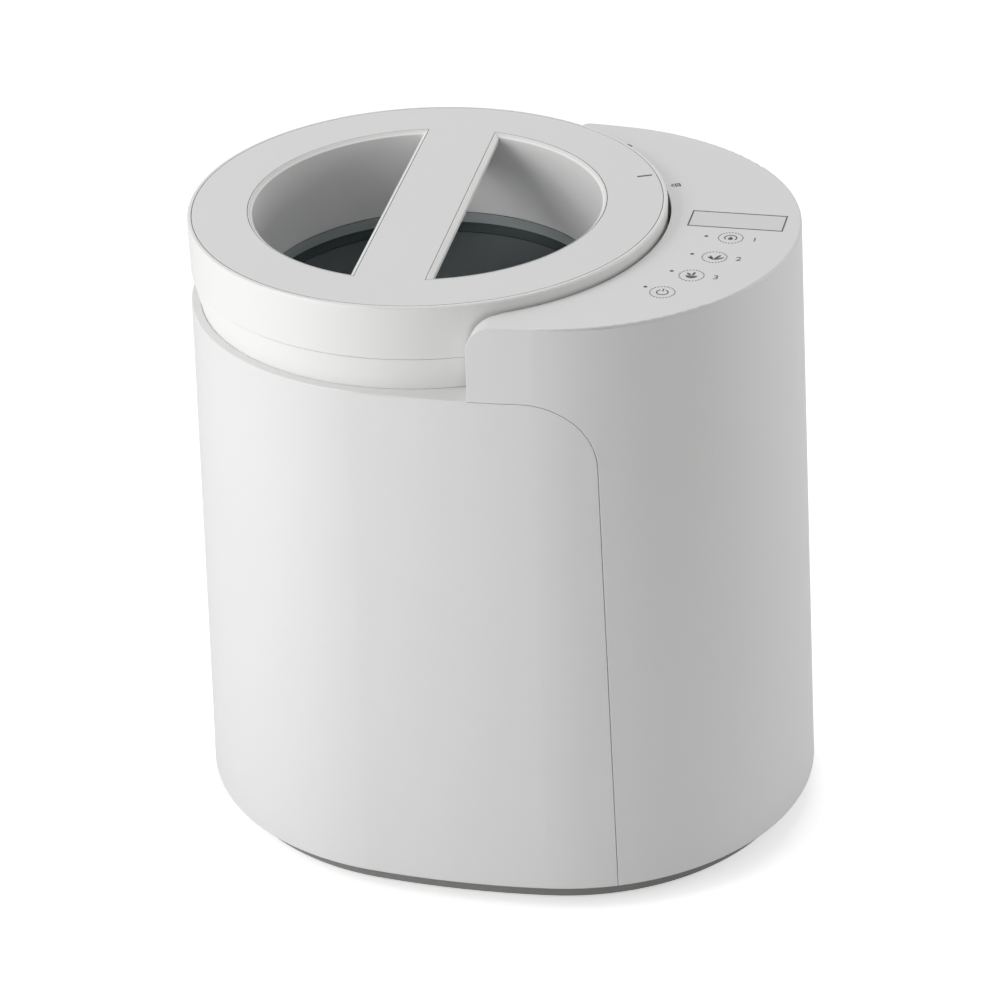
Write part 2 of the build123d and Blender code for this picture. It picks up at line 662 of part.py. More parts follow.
FRAME_SCREWS = (30, 150, 270)
FRAME_SCREW_R = 91.4
FRAME_R = 96.0
SEAL_TOP = 263.3  # the seal and the glass meet here
HEAD_SEAT = 265.2  # the frame's screw heads bear here


def glass_frame():
    """Ring under the bowl that holds the glass and the seal."""
    ring = turned([
        (BOWL_LOW_R, FRAME_TOP), (FRAME_R, FRAME_TOP), (FRAME_R, 262), (94.7, 262),
        (94.7, SEAL_TOP), (87.6, SEAL_TOP), (87.6, GLASS_TOP), (BOWL_LOW_R, GLASS_TOP),
    ])
    hole = upright(1.8, 250, 280, FRAME_SCREW_R) + upright(3.0, 250, HEAD_SEAT, FRAME_SCREW_R)
    for counterbore in around(hole, FRAME_SCREWS, 0):
        ring = ring - on_lid(counterbore)
    return ring


def lid_glass():
    """Tinted glass window at the bottom of the bowl."""
    pane = upright(87.4, SEAL_TOP, GLASS_TOP)
    return chamfer(pane.edges().group_by(Axis.Z)[-1], 0.4)


def lid_seal():
    """Silicone seal under the glass, which rests on the bucket's rim."""
    return turned([(85.1, RIM_Z), (94.2, RIM_Z + 1), (94.2, SEAL_TOP), (85.1, SEAL_TOP)])


def lid_screws():
    """Three screws that hold the glass frame up into the lid."""
    places = [Rot(0, 0, a) * Pos(FRAME_SCREW_R, 0, HEAD_SEAT) for a in FRAME_SCREWS]
    return Compound([on_lid(at * screw(14, 2.8, 1.5, 1.6)) for at in places])


def lid_magnet():
    """Magnet in the lid that tells the controls it is closed."""
    return on_lid(Rot(0, 0, -LID_TURN) * upright(4, 307, 311, 98))


# ---------------------------------------------------------------- controls
BOARD_Z = 299.0
KEY_R = 145.2  # the touch keys lie on an arc about the lid's axis
KEY_ANGLES = (-2.5, -11.1, -19.7, -28.3)


def display_window():
    """Flush translucent window over the display."""
    width, depth = DISPLAY
    edge = 0.15
    return Pos(DISPLAY_X, DISPLAY_Y, 0) * block(
        -width / 2 + edge, width / 2 - edge, -depth / 2 + edge, depth / 2 - edge, HEAD_Z - 2, HEAD_Z
    )


def display_module():
    """Lamp block under the window, on the control board."""
    return Pos(DISPLAY_X, DISPLAY_Y, 0) * block(-20, 20, -6.2, 6.2, BOARD_Z + 1.6, HEAD_Z - 2)


def control_board():
    """Crescent-shaped board under the panel."""
    plan = drafted(WALL + 4, BOARD_Z, BOARD_Z + 1.6) - upright(POCKET_R + 5, 290, 310)
    return plan & block(66, 200, -92, 70, BOARD_Z, BOARD_Z + 1.6)


def board_posts():
    """Posts between the deck and the control board."""
    places = [(100, 50), (104, -52), (132, 0)]
    return Compound([upright(3.5, DECK_TOP, BOARD_Z, x, y) for x, y in places])


def touch_springs():
    """Four conductive foam pads between the board and the printed keys."""
    places = [(LID_X + KEY_R * math.cos(math.radians(a)), KEY_R * math.sin(math.radians(a)))
              for a in KEY_ANGLES]
    low, high = BOARD_Z + 1.6, HEAD_Z - PANEL_T
    return Compound([upright(5.5, low, high, x, y) for x, y in places])


def lid_sensor():
    """Switch behind the pocket wall that feels the lid's magnet."""
    return block(86, 93, -8, 8, DECK_TOP, 288) - upright(POCKET_R + 2.6, 260, 300)


def main_board():
    """Power board standing on edge at the front right, with its larger parts."""
    board = block(101, 102.6, -30, 30, 118, 228)
    parts = [block(86, 101.2, -24, 2, 124, 150), block(90, 101.2, 8, 26, 128, 146),
             block(91, 101.2, -26, -8, 190, 210), block(95, 101.2, 0, 26, 176, 204)]
    caps = [Pos(101.2, y, z) * Rot(0, -90, 0) * extrude(Circle(7), 14)
            for y, z in ((-14, 166), (12, 220))]
    foot = block(101, 125, -14, 14, 114, 118)
    whole = Pos(END_X, 0, 0) * Rot(0, 0, -BACK_TURN) * fused([board, *parts, *caps, foot])
    return whole & drafted(WALL, 110, 240)


# ---------------------------------------------------------------- air path and filter
DUCT_Z = 111.0
BLOWER_T = 88.0  # blower's distance from the right end arc's centre
BLOWER_X = END_X + BLOWER_T * math.cos(math.radians(BACK_TURN))
BLOWER_Y = BLOWER_T * math.sin(math.radians(BACK_TURN))
DUCT_TURN = math.degrees(math.atan2(BLOWER_Y, BLOWER_X - LID_X))
BLOWER_REACH = math.hypot(BLOWER_Y, BLOWER_X - LID_X)
BLOWER_Z = (100.0, 126.0)
BLOWER_R = 25.0
VANES = 10
BAY_BACK = 62.0  # back wall of the filter bay, from the right end arc's centre
BAY_T = 1.8
BAY_FLOOR = DRAWER_Z[0] + GAP  # the drawer slides on this


def air_duct():
    """Short pipe from the pot's side to the blower."""
    pipe = Pos(LID_X, 0, 0) * Rot(0, 0, DUCT_TURN) * Pos(0, 0, DUCT_Z) * Rot(0, 90, 0)
    section = Circle(PORT_R + 1.5) - Circle(PORT_R)
    tube = pipe * extrude(Pos(0, 0, POT_R) * section, BLOWER_REACH - BLOWER_R - POT_R + 4)
    return tube - upright(POT_R + 1.5, 90, 130) - upright(BLOWER_R, 90, 130, BLOWER_X, BLOWER_Y)


def blower_case():
    """Round blower housing, open at the top into the filter bay."""
    low, high = BLOWER_Z
    case = upright(BLOWER_R, low, high, BLOWER_X, BLOWER_Y)
    case = case - upright(BLOWER_R - 1.6, low + 1.6, high - 1.6, BLOWER_X, BLOWER_Y)
    case = case - upright(15, high - 5, high + 1, BLOWER_X, BLOWER_Y)
    case = case + upright(3, low, low + 12, BLOWER_X, BLOWER_Y)
    inlet = Pos(LID_X, 0, 0) * Rot(0, 0, DUCT_TURN) * Pos(BLOWER_REACH - 30, 0, DUCT_Z)
    return case - inlet * Rot(0, 90, 0) * extrude(Circle(PORT_R), 20)


def blower_wheel():
    """Blower wheel with its ring of curved vanes, on the blower's pin."""
    low = BLOWER_Z[0] + 3
    wheel = upright(21, low, low + 1.6, 0) + upright(8, low, low + 14, 0)
    vane = trace(ThreePointArc((9, 0), (15.5, 2.6), (20.5, 7)), 1.2)
    turns = [360 / VANES * k for k in range(VANES)]
    vanes = [extrude(Pos(0, 0, low + 1) * Rot(0, 0, turn) * vane, 15) for turn in turns]
    wheel = fused([wheel, *vanes]) - upright(3.06, low - 1, low + 9, 0)
    return Pos(BLOWER_X, BLOWER_Y, 0) * wheel


CARTRIDGE_TOP = 208.0
SCOOP_R = 15.0
SCOOP_DROP = 18.0  # from the drawer front's top edge to the middle of the finger scoop


def filter_bay():
    """Fixed sleeve that the filter drawer slides in, open to the blower below."""
    side = DRAWER_W / 2 - 0.2
    high = DRAWER_Z[1] + 0.2
    outer = side + BAY_T
    sleeve = block(BAY_BACK, 125, -outer, outer, BLOWER_Z[1], high + BAY_T)
    sleeve = sleeve - block(BAY_BACK + BAY_T, 140, -side, side, BAY_FLOOR, high)
    sleeve = sleeve - upright(15, BLOWER_Z[1] - 1, BAY_FLOOR + 1, BLOWER_T)
    return backwards(sleeve) & drafted(WALL, 100, 260)


def filter_drawer():
    """Drawer for the filter, its curved front flush with the housing and louvred."""
    low, high = DRAWER_Z[0] + GAP, DRAWER_Z[1] - GAP
    side = DRAWER_W / 2 - 0.5
    back = BAY_BACK + BAY_T + 0.5
    column = backwards(block(100, 140, -side, side, low, high))
    front = column & (drafted(0, 100, 260) - drafted(3, 100, 260))
    tray = block(back, 118.2, -side, side, low, high)
    tray = tray - block(back + 1.6, 120, -side + 1.6, side - 1.6, low + 1.6, high + 1)
    tray = tray - block(back - 1, back + 3, -side + 5, side - 5, low + 8, high - 8)
    tray = tray - upright(14, low - 1, low + 5, BLOWER_T)
    drawer = front + (backwards(tray) & drafted(2.9, 100, 260))
    for k in range(9):
        slot = Pos(0, 0, low + 16 + 8 * k) * block(100, 140, -15, 15, -1.4, 1.4)
        drawer = drawer - backwards(slot)
    scoop = Pos(124, 0, high - SCOOP_DROP) * Rot(90, 0, 0) * extrude(Circle(SCOOP_R), 13, both=True)
    pull = backwards(scoop) & drafted(-1, 100, 260)
    backing = column & (drafted(2.9, 100, 260) - drafted(12, 100, 260))
    backing = backing & backwards(block(90, 140, -side, side, high - 2 * SCOOP_DROP, high - 1.6))
    return drawer + backing - pull


def filter_cartridge():
    """Charcoal cartridge: a frame with a fold of grid bars over each face."""
    low, high = DRAWER_Z[0] + GAP + 1.6, CARTRIDGE_TOP
    side = DRAWER_W / 2 - 2.4
    x0, x1 = BAY_BACK + BAY_T + 2.3, 110.0
    core = block(x0, x1, -side, side, low, high)
    for k in range(7):
        z = low + 8 + 10 * k
        core = core - block(x0 - 1, x0 + 1.2, -side + 3, side - 3, z, z + 6)
        core = core - block(x1 - 1.2, x1 + 1, -side + 3, side - 3, z, z + 6)
    return backwards(core)


def power_inlet():
    """Mains inlet socket low in the back, with its three pins."""
    width, height = INLET
    plate = block(-width / 2, width / 2, 118, 120.8, -height / 2, height / 2)
    case = block(-13, 13, 97, 119, -9.5, 9.5)
    inlet = plate + case - block(-11.3, 11.3, 102, 130, -7.8, 7.8)
    pins = [block(x - 1, x + 1, 101, 117, z - 2, z + 2) for x, z in ((-7, -2.5), (7, -2.5), (0, 2.5))]
    return Pos(INLET_X, 0, INLET_Z) * fused([inlet, *pins])


# ---------------------------------------------------------------- write the parts
PIECES = [
    wrap_shell, head_housing, base_tray, foot_pads, base_screws, top_deck,
    heated_pot, heater_plate, heater_band, thermal_cutout, pot_stand,
    output_gear, output_shaft, idler_gear, idler_pin, motor_pinion, motor,
    gear_case, gear_cover, shaft_bearing, shaft_seal,
    bucket, blade_bush, bucket_bail, bail_grip, blade, blade_coupling,
    lid_shell, lid_inlay, glass_frame, lid_glass, lid_seal, lid_screws, lid_magnet,
    display_window, display_module, control_board, board_posts, touch_springs, lid_sensor,
    main_board, air_duct, blower_case, blower_wheel, filter_bay, filter_drawer,
    filter_cartridge, power_inlet,
]

os.makedirs("parts", exist_ok=True)
for make in PIECES:
    export_step(make(), f"parts/{make.__name__}.step")
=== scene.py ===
import math

import bpy
from mathutils import Matrix, Vector


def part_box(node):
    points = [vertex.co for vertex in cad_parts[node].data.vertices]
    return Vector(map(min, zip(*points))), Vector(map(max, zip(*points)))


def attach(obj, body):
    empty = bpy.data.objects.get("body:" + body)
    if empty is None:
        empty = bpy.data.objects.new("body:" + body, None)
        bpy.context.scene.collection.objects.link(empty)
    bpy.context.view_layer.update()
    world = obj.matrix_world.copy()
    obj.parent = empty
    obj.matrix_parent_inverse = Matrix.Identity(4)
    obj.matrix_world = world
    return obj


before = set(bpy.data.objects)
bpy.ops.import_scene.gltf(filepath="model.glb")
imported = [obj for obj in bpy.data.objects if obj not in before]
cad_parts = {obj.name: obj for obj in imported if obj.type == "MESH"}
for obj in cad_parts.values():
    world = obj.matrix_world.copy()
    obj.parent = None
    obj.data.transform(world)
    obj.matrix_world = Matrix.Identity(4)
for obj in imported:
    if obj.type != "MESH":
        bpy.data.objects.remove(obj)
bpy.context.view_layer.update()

# ---------------------------------------------------------------- camera
# The camera stands a metre and a half in front and a little to the right, and looks down
# at the lid through a long lens, tipped by about two degrees as a hand-held one is.
CAMERA_PLACE = Vector((0.3568, -1.4460, 0.99885))
CAMERA_RIGHT = Vector((0.97442, 0.22222, -0.03372))
CAMERA_UP = Vector((-0.08095, 0.48695, 0.86967))
camera_data = bpy.data.cameras.new("camera")
camera_data.sensor_width = 36.0
camera_data.lens = 124.48
camera_data.clip_start = 0.1
camera_data.clip_end = 20.0
camera = bpy.data.objects.new("camera", camera_data)
bpy.context.scene.collection.objects.link(camera)
camera_back = CAMERA_RIGHT.cross(CAMERA_UP)
turn = Matrix((CAMERA_RIGHT, CAMERA_UP, camera_back)).transposed().to_4x4()
camera.matrix_world = Matrix.Translation(CAMERA_PLACE) @ turn
bpy.context.scene.camera = camera

# ---------------------------------------------------------------- studio
# A white floor that the composter stands on, two soft boxes at the left, a weak one at the
# right and one above from behind, as for a cut-out picture of a white product.
bpy.context.scene.view_settings.view_transform = "Standard"


def add_node(tree, kind, inputs=None, **settings):
    """One shader node with its settings; an input is a value or another node's socket."""
    made = tree.nodes.new(kind)
    for name, value in settings.items():
        setattr(made, name, value)
    for name, value in (inputs or {}).items():
        if isinstance(value, bpy.types.NodeSocket):
            tree.links.new(value, made.inputs[name])
        else:
            made.inputs[name].default_value = value
    return made


def linear(hex_colour):
    """A written sRGB colour as the linear values that shaders work in."""
    parts = [int(hex_colour[i:i + 2], 16) / 255 for i in (1, 3, 5)]
    return (*[c / 12.92 if c <= 0.04045 else ((c + 0.055) / 1.055) ** 2.4 for c in parts], 1.0)


def seen_white(tree, surface):
    """Shows plain white to the camera and in gloss and glass, and the surface to light."""
    path = add_node(tree, "ShaderNodeLightPath")
    seen = add_node(tree, "ShaderNodeMath", {
        0: path.outputs["Is Camera Ray"], 1: path.outputs["Is Glossy Ray"]}, operation="ADD")
    seen = add_node(tree, "ShaderNodeMath", {
        0: seen.outputs[0], 1: path.outputs["Is Transmission Ray"]},
        operation="ADD", use_clamp=True)
    white = add_node(tree, "ShaderNodeBackground", {"Color": (1, 1, 1, 1), "Strength": 1.0})
    return add_node(tree, "ShaderNodeMixShader", {
        0: seen.outputs[0], 1: surface, 2: white.outputs[0]})


world = bpy.data.worlds.new("studio")
bpy.context.scene.world = world
world.use_nodes = True
world.node_tree.nodes.clear()
ambient = add_node(world.node_tree, "ShaderNodeBackground",
                   {"Color": (0.99, 1.0, 0.985, 1), "Strength": 0.33})
sky = seen_white(world.node_tree, ambient.outputs[0])
add_node(world.node_tree, "ShaderNodeOutputWorld", {"Surface": sky.outputs[0]})

bpy.ops.object.select_all(action="DESELECT")
bpy.ops.mesh.primitive_plane_add(size=8.0, location=(0, 0, 0))
floor = bpy.context.object
floor.name = "studio_floor"


def bare_material(name):
    """A material with an empty node tree."""
    made = bpy.data.materials.new(name)
    made.use_nodes = True
    made.node_tree.nodes.clear()
    return made


# Matt paper: the camera sees it lifted to white, and the object's shadow stays on it.
paper = bare_material("white_paper")
tree = paper.node_tree
matt = add_node(tree, "ShaderNodeBsdfDiffuse", {"Color": linear("#F4F4F4")})
bright = add_node(tree, "ShaderNodeEmission", {"Strength": 0.55})
lifted = add_node(tree, "ShaderNodeAddShader", {0: matt.outputs[0], 1: bright.outputs[0]})
path = add_node(tree, "ShaderNodeLightPath")
for_camera = add_node(tree, "ShaderNodeMixShader", {
    0: path.outputs["Is Camera Ray"], 1: matt.outputs[0], 2: lifted.outputs[0]})
add_node(tree, "ShaderNodeOutputMaterial", {"Surface": for_camera.outputs[0]})
floor.data.materials.append(paper)


LAMP_AIM = Vector((0, 0, 0.18))  # a little over half way up the composter


def soft_box(name, place, size, watts):
    """A square area lamp turned towards the composter."""
    lamp = bpy.data.lights.new(name, "AREA")
    lamp.size = size
    lamp.energy = watts
    holder = bpy.data.objects.new(name, lamp)
    holder.location = place
    holder.rotation_mode = "QUATERNION"
    holder.rotation_quaternion = (LAMP_AIM - Vector(place)).to_track_quat("-Z", "Y")
    bpy.context.scene.collection.objects.link(holder)


soft_box("low_left_front", (-0.62, -0.72, 0.42), 0.45, 2.9)
soft_box("high_left", (-1.06, -0.61, 1.13), 0.6, 6.6)
soft_box("fill_right_back", (1.41, 0.513, 0.45), 0.8, 5.6)
soft_box("top_back", (0.0, 0.8, 1.486), 0.9, 5.5)

# ---------------------------------------------------------------- outer casings
# Two injection-moulded ABS shells meet at the seam down the front: the wrap at the left
# with the ledge round the neck, and the head at the right with the raised panel. Both have
# the same fine spark-eroded grain, a soft satin, and so has the filter drawer's front.

CLOUD_MM = 60  # size of the faint clouds that uneven cooling leaves
PAINTED_SHADE_REACH = 0.0009  # joints up to this wide get painted shade
PAINTED_EDGE_HIGHLIGHT = "#FAFAFA"
BOWL_LIGHT_FADE = 0.0005  # the bowl's painted light fades out over this width


def moulded_plastic(name, colour, rough, grain_mm, depth, cloudiness=0.02, edge_mm=0.0,
                    joint_painted_shade=None, bowl_painted_light=None):
    """Injection-moulded plastic: an even spark-eroded grain under a faint cloudiness.

    edge_mm is the small radius of its edges, along which the colour is painted paler as a
    painted highlight. A joint colour is painted into joints narrower than a millimetre as
    painted shade. A bowl's axis, radius and colour paint the bowl's inside paler as painted
    light."""
    made = bare_material(name)
    tree = made.node_tree
    place = add_node(tree, "ShaderNodeTexCoord")
    grain = add_node(tree, "ShaderNodeTexNoise", {
        "Vector": place.outputs["Object"], "Scale": 1000 / grain_mm, "Detail": 2.0})
    cloud = add_node(tree, "ShaderNodeTexNoise", {
        "Vector": place.outputs["Object"], "Scale": 1000 / CLOUD_MM, "Detail": 3.0})
    clean = linear(colour)
    dull = (*[c * (1 - cloudiness) for c in clean[:3]], 1.0)
    shade = add_node(tree, "ShaderNodeMix", {0: cloud.outputs["Fac"], 6: dull, 7: clean},
                     data_type="RGBA")
    # Painted light: inside the bowl's radius the colour is painted paler, standing in for light
    # the lamps don't bring into the bowl.
    if bowl_painted_light:
        axis, bowl_r, painted_light_colour = bowl_painted_light
        across = add_node(tree, "ShaderNodeVectorMath", {
            0: place.outputs["Object"], 1: axis}, operation="SUBTRACT")
        level = add_node(tree, "ShaderNodeVectorMath", {
            0: across.outputs["Vector"], 1: (1, 1, 0)}, operation="MULTIPLY")
        reach = add_node(tree, "ShaderNodeVectorMath", {0: level.outputs["Vector"]},
                         operation="LENGTH")
        inside = add_node(tree, "ShaderNodeMapRange", {
            "Value": reach.outputs["Value"], "From Min": bowl_r + BOWL_LIGHT_FADE, "From Max": bowl_r})
        shade = add_node(tree, "ShaderNodeMix", {
            0: inside.outputs["Result"], 6: shade.outputs[2], 7: linear(painted_light_colour)},
            data_type="RGBA")
    # Painted shade: where occlusion finds a joint under a millimetre wide, the colour is painted
    # dark.
    if joint_painted_shade:
        joint_occlusion = add_node(tree, "ShaderNodeAmbientOcclusion", {"Distance": PAINTED_SHADE_REACH},
                            samples=8)
        clear = add_node(tree, "ShaderNodeMapRange", {
            "Value": joint_occlusion.outputs["AO"], "From Min": 0.35, "From Max": 0.7})
        shade = add_node(tree, "ShaderNodeMix", {
            0: clear.outputs["Result"], 6: linear(joint_painted_shade), 7: shade.outputs[2]},
            data_type="RGBA")
    gloss = add_node(tree, "ShaderNodeMapRange", {
        "Value": grain.outputs["Fac"], "To Min": rough - 0.06, "To Max": rough + 0.06})
    bump = add_node(tree, "ShaderNodeBump", {
        "Height": grain.outputs["Fac"], "Strength": depth, "Distance": 0.0001})
    if edge_mm:
        edge = add_node(tree, "ShaderNodeBevel", {"Radius": edge_mm / 1000}, samples=6)
        tree.links.new(edge.outputs["Normal"], bump.inputs["Normal"])
        # Along the rounded edges the colour is painted paler: a painted highlight.
        face = add_node(tree, "ShaderNodeNewGeometry")
        flatness = add_node(tree, "ShaderNodeVectorMath", {
            0: edge.outputs["Normal"], 1: face.outputs["Normal"]}, operation="DOT_PRODUCT")
        edge_highlight_mask = add_node(tree, "ShaderNodeMapRange", {
            "Value": flatness.outputs["Value"], "From Min": 0.98, "From Max": 0.82})
        shade = add_node(tree, "ShaderNodeMix", {
            0: edge_highlight_mask.outputs["Result"], 6: shade.outputs[2], 7: linear(PAINTED_EDGE_HIGHLIGHT)},
            data_type="RGBA")
    shader = add_node(tree, "ShaderNodeBsdfPrincipled", {
        "Base Color": shade.outputs[2], "Roughness": gloss.outputs["Result"], "IOR": 1.53,
        "Normal": bump.outputs["Normal"]})
    add_node(tree, "ShaderNodeOutputMaterial", {"Surface": shader.outputs[0]})
    return made


def dress(material, *names):
    """Gives CAD nodes their finish."""
    for name in names:
        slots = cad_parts[name].data.materials
        slots.clear()
        slots.append(material)


# ABS at 1.53 with a satin roughness; the grain is 0.3 mm in truth, drawn at 0.9 mm to show.
# The rounded edges of the casing get a painted highlight.
casing_abs = moulded_plastic("satin_white_abs", "#E4E4E4", 0.42, 0.9, 0.15, edge_mm=0.5)
dress(casing_abs, "wrap_shell", "head_housing", "filter_drawer")

# ---------------------------------------------------------------- base ring, pads and screws
# The grey polypropylene tray stands back under the shells as a shadow line. Four black
# rubber pads are bonded under it, and zinc-plated screws sit deep in its lugs.
tray_pp = moulded_plastic("matt_grey_polypropylene", "#8E8E8C", 0.6, 1.1, 0.35)
dress(tray_pp, "base_tray")


def moulded_rubber(name, colour, rough=0.75):
    """Moulded rubber or silicone: dull, slightly waxy, with a soft sheen at grazing angles."""
    made = bare_material(name)
    tree = made.node_tree
    place = add_node(tree, "ShaderNodeTexCoord")
    dust = add_node(tree, "ShaderNodeTexNoise", {
        "Vector": place.outputs["Object"], "Scale": 1000 / 3.0, "Detail": 5.0})
    clean = linear(colour)
    dusty = (*[min(1.0, c * 1.25 + 0.01) for c in clean[:3]], 1.0)
    shade = add_node(tree, "ShaderNodeMix", {0: dust.outputs["Fac"], 6: clean, 7: dusty},
                     data_type="RGBA")
    bump = add_node(tree, "ShaderNodeBump", {
        "Height": dust.outputs["Fac"], "Strength": 0.2, "Distance": 0.0002})
    shader = add_node(tree, "ShaderNodeBsdfPrincipled", {
        "Base Color": shade.outputs[2], "Roughness": rough, "IOR": 1.45, "Sheen Weight": 0.2,
        "Normal": bump.outputs["Normal"]})
    add_node(tree, "ShaderNodeOutputMaterial", {"Surface": shader.outputs[0]})
    return made


pad_rubber = moulded_rubber("black_rubber", "#141414")
dress(pad_rubber, "foot_pads", "shaft_seal")


def worked_metal(name, colour, rough, mark_mm, stretch=(1, 1, 1), depth=0.2):
    """Metal with the marks of its making; stretch draws them out along an axis."""
    made = bare_material(name)
    tree = made.node_tree
    place = add_node(tree, "ShaderNodeTexCoord")
    drawn = add_node(tree, "ShaderNodeMapping", {"Vector": place.outputs["Object"],
                                                 "Scale": stretch})
    marks = add_node(tree, "ShaderNodeTexNoise", {
        "Vector": drawn.outputs["Vector"], "Scale": 1000 / mark_mm, "Detail": 4.0})
    bright = linear(colour)
    dull = (*[c * 0.82 for c in bright[:3]], 1.0)
    shade = add_node(tree, "ShaderNodeMix", {0: marks.outputs["Fac"], 6: dull, 7: bright},
                     data_type="RGBA")
    gloss = add_node(tree, "ShaderNodeMapRange", {
        "Value": marks.outputs["Fac"], "To Min": rough - 0.08, "To Max": rough + 0.08})
    bump = add_node(tree, "ShaderNodeBump", {
        "Height": marks.outputs["Fac"], "Strength": depth, "Distance": 0.0001})
    shader = add_node(tree, "ShaderNodeBsdfPrincipled", {
        "Base Color": shade.outputs[2], "Metallic": 1.0, "Roughness": gloss.outputs["Result"],
        "Normal": bump.outputs["Normal"]})
    add_node(tree, "ShaderNodeOutputMaterial", {"Surface": shader.outputs[0]})
    return made


zinc = worked_metal("zinc_plated_steel", "#C4C6C2", 0.34, 2.0)
dress(zinc, "base_screws", "lid_screws", "motor")

# ---------------------------------------------------------------- neck and inner deck
# The neck between the lid and the ledge is part of one inner frame, moulded in the same
# white as the casing but with a finer, drier surface, since hands don't reach it.
neck_abs = moulded_plastic("fine_white_abs", "#EFEFED", 0.5, 0.7, 0.1)
dress(neck_abs, "top_deck", "board_posts", "filter_bay")

# ---------------------------------------------------------------- pot with its heaters
# Deep-drawn aluminium: the draw marks run up the wall. A ring-shaped heating plate lies
# under the pot, and the band heater round its lower part is grey silicone.
pot_aluminium = worked_metal("drawn_aluminium", "#C9CBCC", 0.36, 0.8, (1, 1, 0.04))
dress(pot_aluminium, "heated_pot", "heater_plate")
band_silicone = moulded_rubber("grey_silicone", "#4A4A4C", 0.6)
dress(band_silicone, "heater_band", "lid_seal")

# ---------------------------------------------------------------- drive
# Acetal gears, ground steel shafts and a brass pinion, in a case of black glass-filled nylon
# in two halves, the upper of which carries the motor. Other small black parts match it.
acetal = moulded_plastic("natural_acetal", "#DDD8C8", 0.38, 1.5, 0.1)
dress(acetal, "output_gear", "idler_gear", "blade_bush")
ground_steel = worked_metal("ground_steel", "#B9BABB", 0.22, 0.5, (1, 1, 12), 0.1)
dress(ground_steel, "output_shaft", "idler_pin", "bucket_bail", "blade_coupling")
turned_brass = worked_metal("turned_brass", "#C9A45A", 0.26, 0.6, (1, 1, 8), 0.1)
dress(turned_brass, "motor_pinion", "shaft_bearing")
black_nylon = moulded_plastic("black_filled_nylon", "#1C1C1D", 0.5, 0.8, 0.4, 0.2)
dress(black_nylon, "gear_case", "gear_cover", "pot_stand", "thermal_cutout", "blower_case",
      "blower_wheel", "air_duct", "lid_sensor", "bail_grip", "touch_springs", "power_inlet")

# ---------------------------------------------------------------- bucket and blade
# The bucket is cast aluminium under a charcoal non-stick coat with a fine fleck; the blade
# is cast stainless steel, shot-blasted.


def flecked_coat(name):
    """Sprayed non-stick coat: matt charcoal with fine paler flecks and an orange-peel skin."""
    made = bare_material(name)
    tree = made.node_tree
    place = add_node(tree, "ShaderNodeTexCoord")
    fleck = add_node(tree, "ShaderNodeTexVoronoi", {
        "Vector": place.outputs["Object"], "Scale": 1000 / 2.2})
    spot = add_node(tree, "ShaderNodeMapRange", {
        "Value": fleck.outputs["Distance"], "From Min": 0.08, "From Max": 0.2,
        "To Min": 1.0, "To Max": 0.0})
    shade = add_node(tree, "ShaderNodeMix", {
        0: spot.outputs["Result"], 6: linear("#222325"), 7: linear("#55575A")}, data_type="RGBA")
    peel = add_node(tree, "ShaderNodeTexNoise", {
        "Vector": place.outputs["Object"], "Scale": 1000 / 1.6, "Detail": 2.0})
    bump = add_node(tree, "ShaderNodeBump", {
        "Height": peel.outputs["Fac"], "Strength": 0.25, "Distance": 0.0002})
    shader = add_node(tree, "ShaderNodeBsdfPrincipled", {
        "Base Color": shade.outputs[2], "Roughness": 0.42, "IOR": 1.4,
        "Normal": bump.outputs["Normal"]})
    add_node(tree, "ShaderNodeOutputMaterial", {"Surface": shader.outputs[0]})
    return made


dress(flecked_coat("charcoal_non_stick"), "bucket")
dress(worked_metal("blasted_stainless", "#A9AAA9", 0.42, 0.7, depth=0.5), "blade")

# ---------------------------------------------------------------- lid
# One white moulding carries the flush plate with the bar, and a smoked glass is held under
# the bowl by a ring. The moulding is a shade whiter than the plate; inside the bowl its colour
# is painted paler still as painted light, and the fine joint round the plate is painted dark as
# painted shade.
PAINTED_JOINT_SHADE = "#2A2A29"
LID_AXIS = Vector((-0.032, 0.0, 0.0))
BOWL_R = 0.0837  # just outside the bowl's wall
# Painted light makes the bowl's inside paler and lights the rounded edges with a painted
# highlight; painted shade darkens the joints.
lid_abs = moulded_plastic("lid_white_abs", "#ECECEB", 0.38, 0.8, 0.1, 0.02, 0.4, PAINTED_JOINT_SHADE,
                          (LID_AXIS, BOWL_R, "#FAFAF9"))
dress(lid_abs, "lid_shell")
# The plate's joint is painted dark too, as painted shade.
plate_abs = moulded_plastic("plate_white_abs", "#E2E2E2", 0.36, 0.8, 0.1, joint_painted_shade=PAINTED_JOINT_SHADE)
dress(plate_abs, "lid_inlay")


def smoked_glass(name):
    """Smoked tempered glass: polished, with a blue-grey body that lets little through."""
    made = bare_material(name)
    tree = made.node_tree
    place = add_node(tree, "ShaderNodeTexCoord")
    wave = add_node(tree, "ShaderNodeTexNoise", {
        "Vector": place.outputs["Object"], "Scale": 1000 / 70, "Detail": 1.0})
    bump = add_node(tree, "ShaderNodeBump", {
        "Height": wave.outputs["Fac"], "Strength": 0.05, "Distance": 0.001})
    shader = add_node(tree, "ShaderNodeBsdfPrincipled", {
        "Base Color": linear("#47565C"), "Roughness": 0.03, "IOR": 1.52,
        "Transmission Weight": 0.75, "Normal": bump.outputs["Normal"]})
    add_node(tree, "ShaderNodeOutputMaterial", {"Surface": shader.outputs[0]})
    return made


dress(smoked_glass("smoked_glass"), "lid_glass")
# The ring that holds the glass is grey nylon, faintly clouded.
dress(moulded_plastic("grey_filled_nylon", "#B2BABB", 0.4, 0.8, 0.2, 0.1), "glass_frame")
dress(worked_metal("nickel_plate", "#B8B6AE", 0.2, 2.0), "lid_magnet")

# ---------------------------------------------------------------- panel
# A flush white window hides the lamps. The boards behind it and at the front right are
# green with a solder mask, under which the copper tracks show paler.
window_pc = moulded_plastic("white_polycarbonate", "#DEDEDE", 0.3, 0.8, 0.05)
dress(window_pc, "display_window", "display_module")


